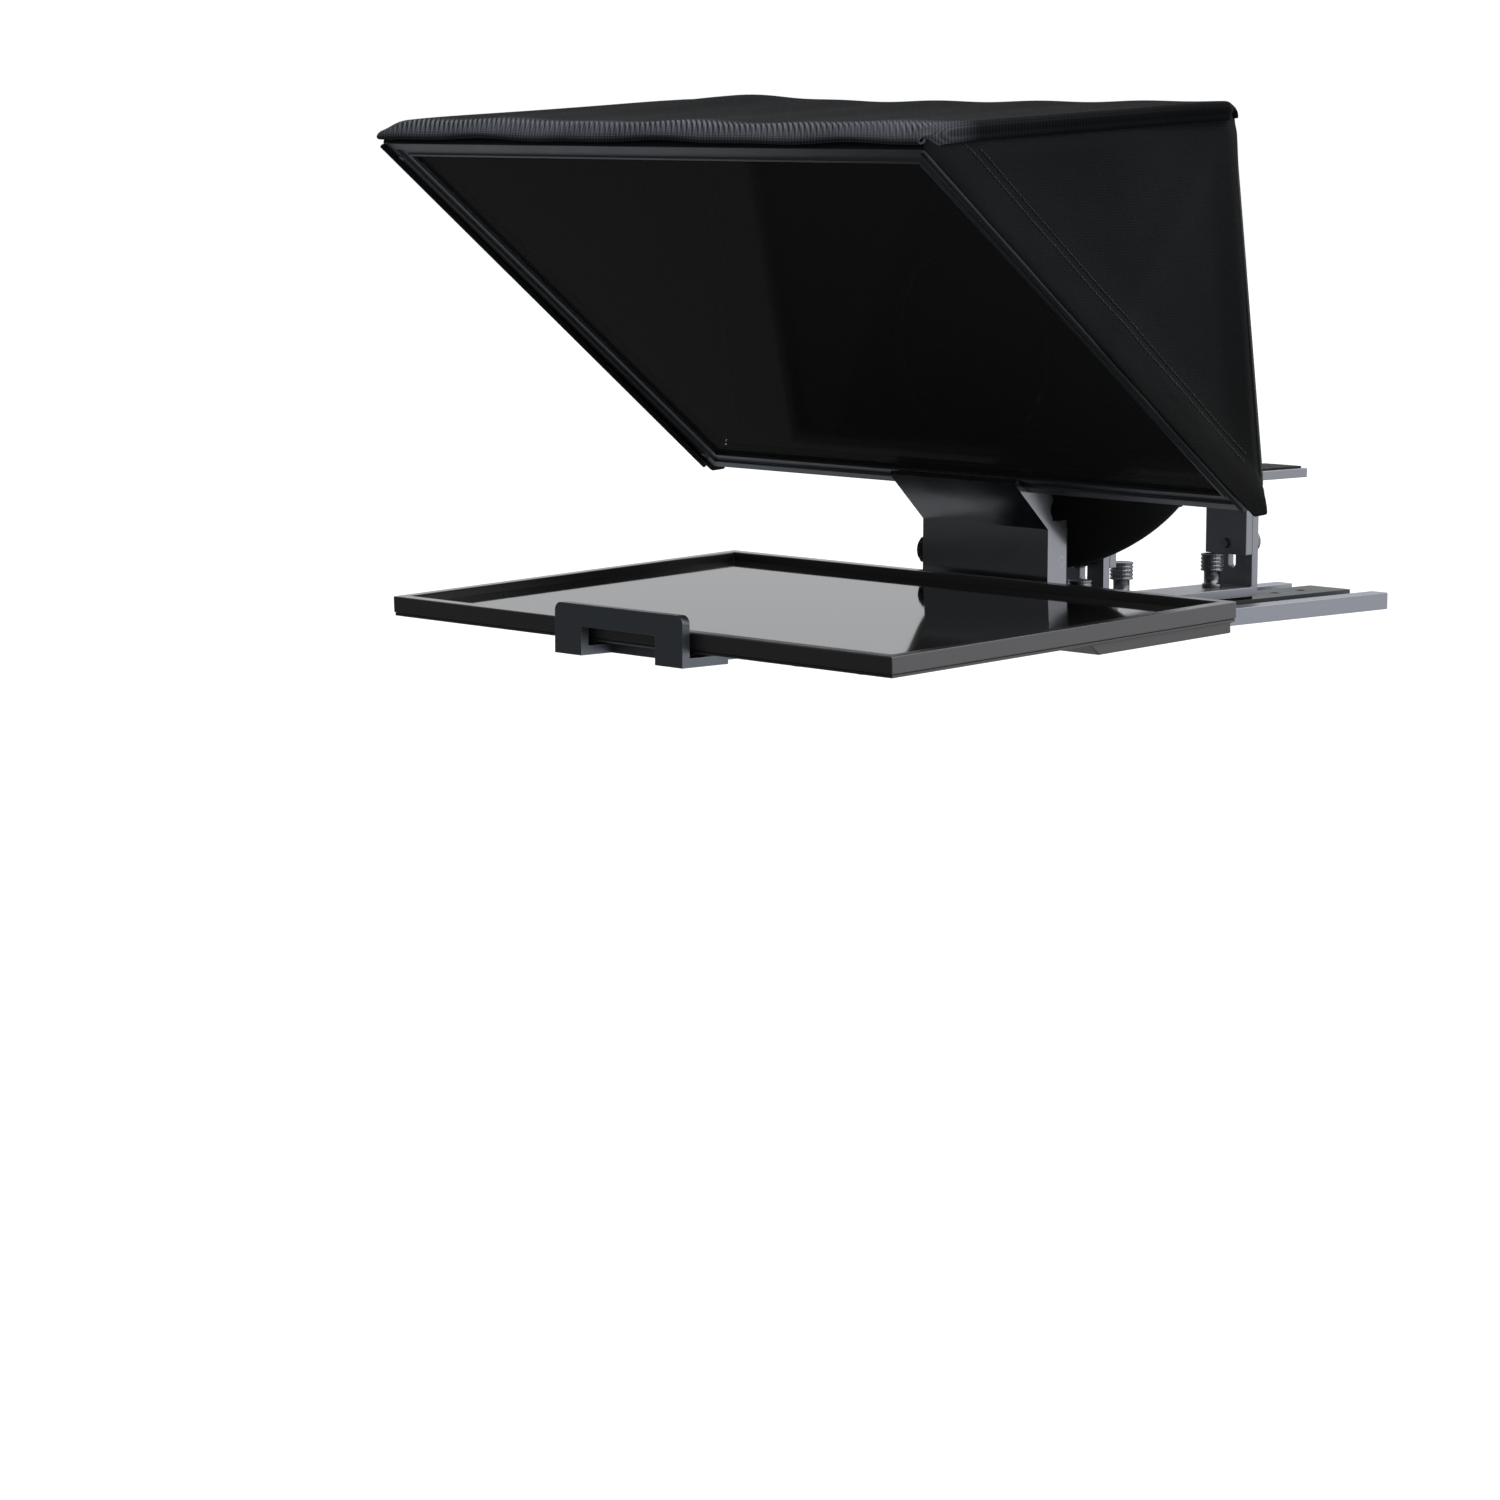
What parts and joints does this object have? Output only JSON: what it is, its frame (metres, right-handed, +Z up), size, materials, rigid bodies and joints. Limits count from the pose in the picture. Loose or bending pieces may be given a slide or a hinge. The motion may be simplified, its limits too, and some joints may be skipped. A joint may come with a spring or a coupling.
{
  "type": "teleprompter",
  "caption": "Camera teleprompter: a flat monitor under an angled beam-splitter glass with a folding hood, on a base rail with a height-adjustable camera riser.",
  "frame": {"origin": "centre of the tripod thread where it opens in the underside of the base rail", "axes": "+Z up, +Y from the presenter towards the camera operator, +X to the right when looking along +Y"},
  "size_m": [0.465, 0.6367, 0.3392],
  "materials": {
    "anodised_slate": "dark slate fine-bead anodised aluminium",
    "anodised_edge": "grey anodised extrusion with brushed flanks",
    "black_metal": "satin black powder coat",
    "knurled_steel": "knurled dark nickel",
    "screw_steel": "zinc plated",
    "monitor_shell": "dark grey moulded plastic",
    "bezel_plastic": "black moulded plastic",
    "screen_glass": "glossy display front",
    "circuit_green": "circuit board",
    "rubber_black": "matte rubber",
    "knob_plastic": "black moulded knob",
    "splitter_glass": "beam-splitter coated glass",
    "hood_cloth": "black woven hood cloth"
  },
  "bodies": {
    "base": {"base_channel": "anodised_edge", "centre_bar": "anodised_slate", "bar_screws": "screw_steel", "tripod_bush": "screw_steel", "monitor_back": "monitor_shell", "monitor_bezel": "bezel_plastic", "screen_panel": "screen_glass", "circuit_board": "circuit_green", "power_inlet": "bezel_plastic", "video_inlet": "screw_steel", "vesa_plate": "black_metal", "vesa_screws": "screw_steel", "monitor_wedge": "anodised_slate", "wedge_screws": "screw_steel", "glass_post": "black_metal", "post_bolts": "screw_steel", "guide_screw": "screw_steel", "pivot_pin": "screw_steel"},
    "power_button": {"power_button": "bezel_plastic"},
    "clamp": {"front_clamp": "anodised_slate", "clamp_pads": "rubber_black"},
    "clamp_knob_left": {"clamp_knob_left": "knob_plastic"},
    "clamp_knob_right": {"clamp_knob_right": "knob_plastic"},
    "post_nut_left": {"post_nut_left": "knurled_steel"},
    "post_nut_right": {"post_nut_right": "knurled_steel"},
    "tilt_knob": {"tilt_knob": "knob_plastic"},
    "glass": {"glass_bracket": "black_metal", "bracket_screws": "screw_steel", "frame_rail_bottom": "anodised_slate", "frame_rail_top": "anodised_slate", "frame_rail_left": "anodised_slate", "frame_rail_right": "anodised_slate", "beam_splitter": "splitter_glass", "glass_gasket": "rubber_black", "corner_screws": "screw_steel", "hinge_ears": "black_metal", "hinge_pins": "screw_steel", "hood_top": "hood_cloth", "hood_side_left": "hood_cloth", "hood_side_right": "hood_cloth"},
    "hoop": {"hood_hoop": "black_metal", "rear_panel": "hood_cloth", "lens_hem": "hood_cloth", "lens_sleeve": "hood_cloth"},
    "riser": {"riser_foot_front": "anodised_slate", "riser_foot_rear": "anodised_slate", "riser_pads": "rubber_black", "riser_studs": "screw_steel"},
    "riser_nut_front": {"riser_nut_front": "knurled_steel"},
    "riser_nut_rear": {"riser_nut_rear": "knurled_steel"},
    "bridge": {"riser_bridge": "anodised_slate"},
    "height_knob_front": {"height_knob_front": "knurled_steel"},
    "height_knob_rear": {"height_knob_rear": "knurled_steel"},
    "camera_plate": {"camera_plate": "anodised_slate", "camera_pad": "rubber_black"},
    "camera_screw": {"camera_screw": "knurled_steel"}
  },
  "joints": [
    {"name": "power_button_press", "type": "slide", "parent": "base", "child": "power_button", "axis": [0, -0.0384, 0.9993], "range_m": [0, 0.0007], "stiffness_N_per_m": 300},
    {"name": "clamp_slide", "type": "slide", "parent": "base", "child": "clamp", "axis": [0, -1, 0], "range_m": [0, 0.035]},
    {"name": "clamp_knob_left_turn", "type": "hinge", "parent": "clamp", "child": "clamp_knob_left", "pos_m": [-0.0279, -0.252, 0], "axis": [0, 0, 1], "continuous": true},
    {"name": "clamp_knob_right_turn", "type": "hinge", "parent": "clamp", "child": "clamp_knob_right", "pos_m": [0.0279, -0.252, 0], "axis": [0, 0, 1], "continuous": true},
    {"name": "post_nut_left_turn", "type": "hinge", "parent": "base", "child": "post_nut_left", "pos_m": [-0.0279, -0.068, 0.014], "axis": [0, 0, 1], "continuous": true},
    {"name": "post_nut_right_turn", "type": "hinge", "parent": "base", "child": "post_nut_right", "pos_m": [0.0279, -0.068, 0.014], "axis": [0, 0, 1], "continuous": true},
    {"name": "tilt_knob_turn", "type": "hinge", "parent": "base", "child": "tilt_knob", "pos_m": [-0.0538, -0.1128, 0.052], "axis": [1, 0, 0], "continuous": true},
    {"name": "glass_tilt", "type": "hinge", "parent": "base", "child": "glass", "pos_m": [0, -0.1128, 0.052], "axis": [1, 0, 0], "range_deg": [-4, 4]},
    {"name": "hood_fold", "type": "hinge", "parent": "glass", "child": "hoop", "pos_m": [0, -0.128, 0.106], "axis": [1, 0, 0], "range_deg": [0, 42], "deforming": ["hood_top", "hood_side_left", "hood_side_right", "lens_sleeve"]},
    {"name": "riser_slide", "type": "slide", "parent": "base", "child": "riser", "axis": [0, 1, 0], "range_m": [-0.012, 0.025]},
    {"name": "riser_nut_front_turn", "type": "hinge", "parent": "riser", "child": "riser_nut_front", "pos_m": [0, 0.001, 0.019], "axis": [0, 0, 1], "continuous": true},
    {"name": "riser_nut_rear_turn", "type": "hinge", "parent": "riser", "child": "riser_nut_rear", "pos_m": [0, 0.088, 0.019], "axis": [0, 0, 1], "continuous": true},
    {"name": "riser_height", "type": "slide", "parent": "riser", "child": "bridge", "axis": [0, 0, 1], "range_m": [-0.013, 0.016]},
    {"name": "height_knob_front_turn", "type": "hinge", "parent": "bridge", "child": "height_knob_front", "pos_m": [0, -0.035, 0.047], "axis": [0, 1, 0], "continuous": true},
    {"name": "height_knob_rear_turn", "type": "hinge", "parent": "bridge", "child": "height_knob_rear", "pos_m": [0, 0.113, 0.047], "axis": [0, 1, 0], "continuous": true},
    {"name": "camera_plate_slide", "type": "slide", "parent": "bridge", "child": "camera_plate", "axis": [0, 1, 0], "range_m": [-0.015, 0.03]},
    {"name": "camera_screw_turn", "type": "hinge", "parent": "camera_plate", "child": "camera_screw", "pos_m": [0, 0.045, 0.082], "axis": [0, 0, 1], "continuous": true}
  ]
}
